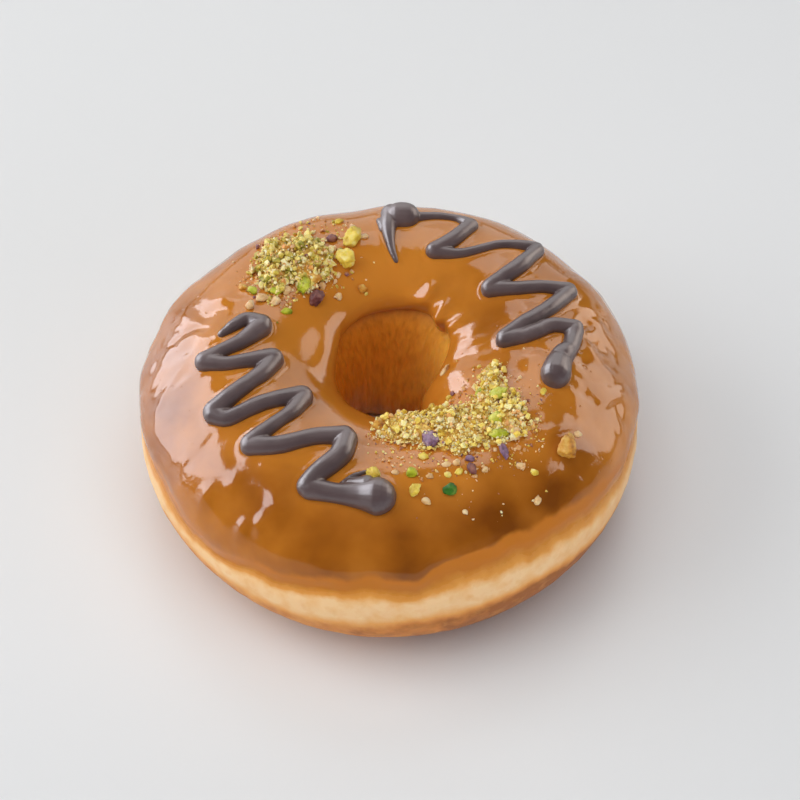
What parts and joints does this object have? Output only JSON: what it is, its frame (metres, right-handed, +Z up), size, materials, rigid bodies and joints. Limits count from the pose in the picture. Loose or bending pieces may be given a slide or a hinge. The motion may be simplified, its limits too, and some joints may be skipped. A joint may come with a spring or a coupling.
{
  "type": "ring doughnut",
  "caption": "Raised ring doughnut with caramel icing over its top, piped chocolate zigzags and chopped pistachio; lies flat on its underside.",
  "frame": {"origin": "on the surface that the doughnut lies on, under the middle of its outline", "axes": "+Z up through the hole, -Y towards the front of the pictured side, +X to that view's right"},
  "size_m": [0.0926, 0.0914, 0.0377],
  "materials": {
    "dough": "fried dough, golden brown with a cream band round the belly, soft and matte",
    "icing": "glossy poured caramel icing with dark chocolate piping and chopped pistachio"
  },
  "bodies": {
    "root": {"dough_ring": "dough", "caramel_icing": "icing"}
  },
  "joints": []
}
